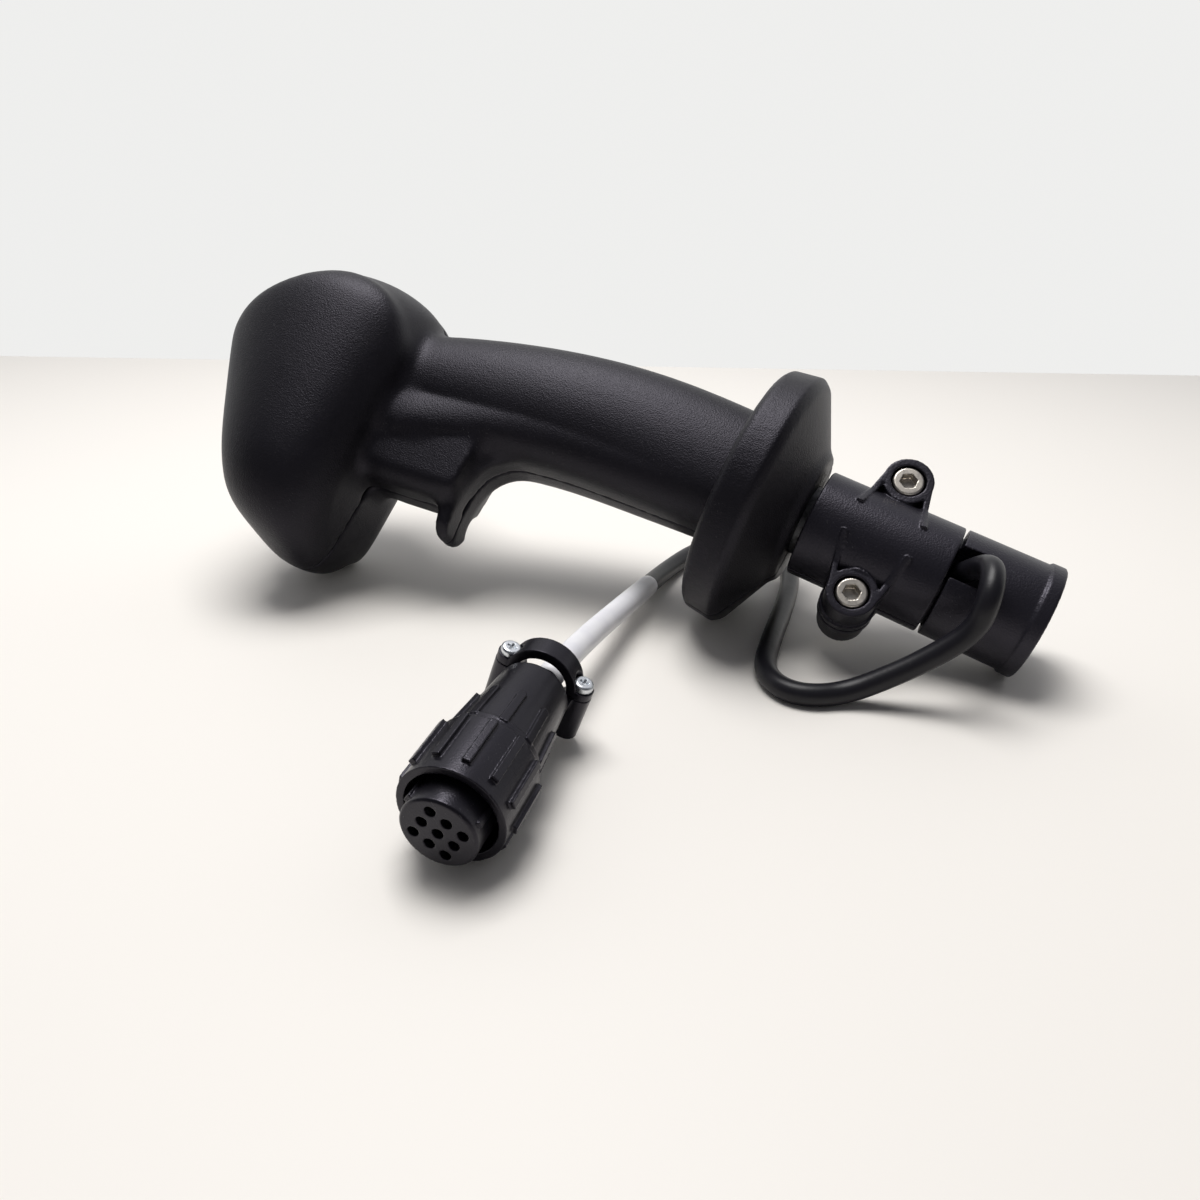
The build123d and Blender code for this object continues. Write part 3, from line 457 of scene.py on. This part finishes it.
lead_curve = bpy.data.curves.new("lead", "CURVE")
lead_curve.dimensions = "3D"
line = lead_curve.splines.new("NURBS")
line.points.add(len(route) - 1)
for point, place in zip(line.points, route):
    point.co = (*place, 1.0)
line.order_u = 3
line.use_endpoint_u = True
line.resolution_u = 16
lead = bpy.data.objects.new("lead", lead_curve)
bpy.context.scene.collection.objects.link(lead)
route_mesh = bpy.data.meshes.new_from_object(lead)
followed = [vertex.co.copy() for vertex in route_mesh.vertices]
bpy.data.meshes.remove(route_mesh)
lead_curve.use_fill_caps = True
lead_curve.bevel_depth = cable_radius
lead_curve.bevel_resolution = 8
lead_curve.materials.append(jacket.material)
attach(lead, "handle")
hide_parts("cable")

# Label: a bare white film sleeve round the lead's straight behind the plug, shrunk a
# little tighter at both ends.
label_start = 60.0 * MM
label_length = 94.0 * MM
label_radius = 3.83 * MM
end_shrink = 0.15 * MM
shrink_length = 1.5 * MM
label_steps = 48

white_film = Finish("label_white")
waves = white_film.noise(120)
film_dark = (0.80, 0.80, 0.84, 1)
film_pale = (0.88, 0.88, 0.9, 1)
white_film.set("Base Color", white_film.mix(waves.above(0.35, 0.7), film_dark, film_pale))
white_film.set("Roughness", waves * 0.15 + 0.3)
white_film.bump(waves + white_film.noise(700) * 0.15, 0.1 * MM)


def ring_frames(points):
    """Points with a steady pair of side directions, for a tube along them."""
    frames = []
    side = Vector((0, 0, 1))
    for i, point in enumerate(points):
        ahead = (points[min(i + 1, len(points) - 1)] - points[max(i - 1, 0)]).normalized()
        side = (side - ahead * side.dot(ahead)).normalized()
        frames.append((point, side.copy(), ahead.cross(side)))
    return frames


def sleeve(name, points, radii, inner):
    """A closed sleeve along points, with its own outer radius at each."""
    frames = ring_frames(points)
    angles = [2 * math.pi * step / label_steps for step in range(label_steps)]
    shape = bmesh.new()
    rings = []
    outside = list(zip(frames, radii))
    inside = [(place, inner) for place in reversed(frames)]
    for (centre, side, across), radius in outside + inside:
        spokes = [side * math.cos(angle) + across * math.sin(angle) for angle in angles]
        rings.append([shape.verts.new(centre + spoke * radius) for spoke in spokes])
    for first, second in zip(rings, rings[1:] + rings[:1]):
        for k, after in zip(range(label_steps), [*range(1, label_steps), 0]):
            shape.faces.new((first[k], first[after], second[after], second[k]))
    bmesh.ops.recalc_face_normals(shape, faces=shape.faces)
    mesh = bpy.data.meshes.new(name)
    shape.to_mesh(mesh)
    shape.free()
    mesh.polygons.foreach_set("use_smooth", [True] * len(mesh.polygons))
    piece = bpy.data.objects.new(name, mesh)
    bpy.context.scene.collection.objects.link(piece)
    return piece


def along_label(point):
    """How far a point is from the label's end at the plug, along the plug's axis."""
    return (point - plug_face).dot(plug_axis) - label_start


tail = followed[len(followed) * 2 // 3:]
label_points = [point for point in tail if 0 < along_label(point) < label_length]
from_end = [min(along_label(point), label_length - along_label(point)) for point in label_points]
label_radii = [label_radius - end_shrink * math.exp(-reach / shrink_length) for reach in from_end]
label = sleeve("label", label_points, label_radii, cable_radius)
label.data.materials.append(white_film.material)
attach(label, "handle")
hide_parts("label_sleeve")

# Table: a pale sheet that ends behind the handle, as the one in the photograph does.
view_turn = math.radians(25.76)
table_size = 8.0
table_edge = 0.437
view_way = Vector((-math.sin(view_turn), math.cos(view_turn), 0))
bpy.ops.mesh.primitive_plane_add(
    size=table_size, rotation=(0, 0, view_turn), location=view_way * (table_edge - table_size / 2)
)
table = bpy.context.active_object
table.name = "table"
table_top = Finish("table_top")
table_shades = ((0.865, 0.835, 0.785, 1), (0.875, 0.85, 0.80, 1))
table_top.set("Base Color", table_top.mix(table_top.noise(3), *table_shades))
table_top.set("Roughness", 0.6)
table.data.materials.append(table_top.material)

# Studio: a pale wall behind the table, which fades to a dimmer ceiling and to a dark room
# on the near side, and one soft box overhead.
world = bpy.data.worlds.new("studio")
studio = NodeTree(world)
outlook = studio.node("ShaderNodeTexCoord", "Generated")
pale_wall = (0.86, 0.86, 0.85, 1)
ceiling = (0.45, 0.45, 0.50, 1)
near_room = (0.10, 0.10, 0.11, 1)


def towards(way):
    """The share of the view's direction that points a way."""
    return studio.node("ShaderNodeVectorMath", "Value", {0: outlook, 1: way}, operation="DOT_PRODUCT")


walls = studio.mix(towards((0, 0, 1)).above(0.35, 0.95), pale_wall, ceiling)
room = studio.mix(towards(tuple(view_way)).above(-0.1, 0.45), near_room, walls)
background = studio.tree.nodes["Background"]
studio.put(background.inputs["Color"], room)
background.inputs["Strength"].default_value = 1.0
bpy.context.scene.world = world

lamp = bpy.data.lights.new("key", "AREA")
lamp.shape = "SQUARE"
lamp.size = 0.55
lamp.energy = 9.3
lamp.color = (1.0, 0.985, 0.975)
lamp_place = Vector((-0.15, 0.1, 0.95))
lamp_target = Vector((0, 0, 0.03))
soft_box = bpy.data.objects.new("key", lamp)
soft_box.location = lamp_place
soft_box.rotation_mode = "QUATERNION"
soft_box.rotation_quaternion = (lamp_target - lamp_place).to_track_quat("-Z", "Y")
bpy.context.scene.collection.objects.link(soft_box)

# Camera: where the photograph was taken from. Its place and directions were found from
# the handle's turned outlines, and are given from under the handle's origin.
camera_data = bpy.data.cameras.new("camera")
camera_data.lens = 27.0
camera_data.sensor_width = 36.0
camera_data.clip_start = 0.01
camera = bpy.data.objects.new("camera", camera_data)
camera_place = table_origin + Vector((0.05985, -0.28549, 0.14509))
camera_ahead = Vector((-0.39141, 0.81119, -0.43448)).normalized()
camera_right = Vector((0.89743, 0.44092, 0.01474))
camera_up = camera_right.cross(camera_ahead).normalized()
camera_right = camera_ahead.cross(camera_up)
turn = Matrix((camera_right, camera_up, -camera_ahead)).transposed().to_4x4()
camera.matrix_world = Matrix.Translation(camera_place) @ turn
bpy.context.scene.collection.objects.link(camera)
bpy.context.scene.camera = camera
bpy.context.scene.view_settings.view_transform = "Standard"
